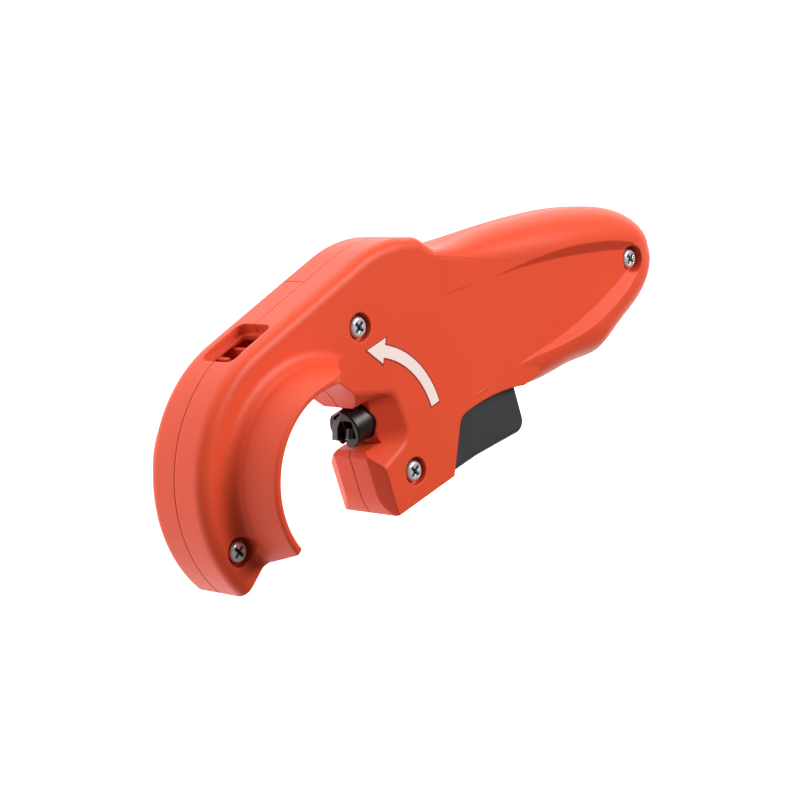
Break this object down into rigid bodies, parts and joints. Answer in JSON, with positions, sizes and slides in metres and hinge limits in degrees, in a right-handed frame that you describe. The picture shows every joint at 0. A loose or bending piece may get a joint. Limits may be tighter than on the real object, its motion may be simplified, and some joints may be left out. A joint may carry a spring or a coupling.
{
  "type": "plastic pipe cutter",
  "caption": "Hand pipe cutter for plastic drain pipe: C-shaped hook with raised guide collars, sprung cutter in a barrel, squeeze trigger and rounded handle.",
  "frame": {"origin": "on the axis of the pipe held in the hook, at the middle of the tool's thickness", "axes": "+X from the pipe along the handle to its butt, +Y from the trigger side to the back of the hook, +Z out of the marked face, along the pipe"},
  "size_m": [0.205, 0.077, 0.0504],
  "materials": {
    "shell_plastic": "moulded, satin to semi-gloss",
    "trigger_plastic": "fine moulded texture",
    "zinc_steel": "bright zinc plate",
    "insert_brass": "turned",
    "bright_steel": "ground",
    "black_steel": "black oxide",
    "blade_steel": "hardened, ground edge",
    "spring_steel": "drawn wire",
    "bush_bronze": "sintered bronze",
    "bumper_rubber": "moulded"
  },
  "bodies": {
    "housing": {"front_shell": "shell_plastic", "rear_shell": "shell_plastic", "housing_screws": "zinc_steel", "screw_inserts": "insert_brass", "shell_dowels": "bright_steel", "guide_bush": "bush_bronze", "stop_bumper": "bumper_rubber", "spring_seat": "bright_steel", "guide_rod": "bright_steel", "main_spring": "spring_steel"},
    "trigger_lever": {"trigger": "trigger_plastic"},
    "cutter_plunger": {"plunger": "black_steel", "drive_pin": "bright_steel", "plunger_circlip": "spring_steel", "parting_blade": "blade_steel", "bevel_blade": "blade_steel", "blade_grub_screw": "black_steel", "rod_sleeve": "bush_bronze", "spring_follower": "bright_steel"}
  },
  "joints": [
    {"name": "trigger_squeeze", "type": "slide", "parent": "housing", "child": "trigger_lever", "axis": [0.515, 0.8572, 0], "range_m": [0, 0.01], "stiffness_N_per_m": 320, "springref_m": -0.02},
    {"name": "plunger_slide", "type": "slide", "parent": "housing", "child": "cutter_plunger", "axis": [1, 0, 0], "range_m": [0, 0.0053], "deforming": ["main_spring"]}
  ],
  "couplings": [
    {"joint": "plunger_slide", "follows": "trigger_squeeze", "ratio": 0.51504}
  ]
}
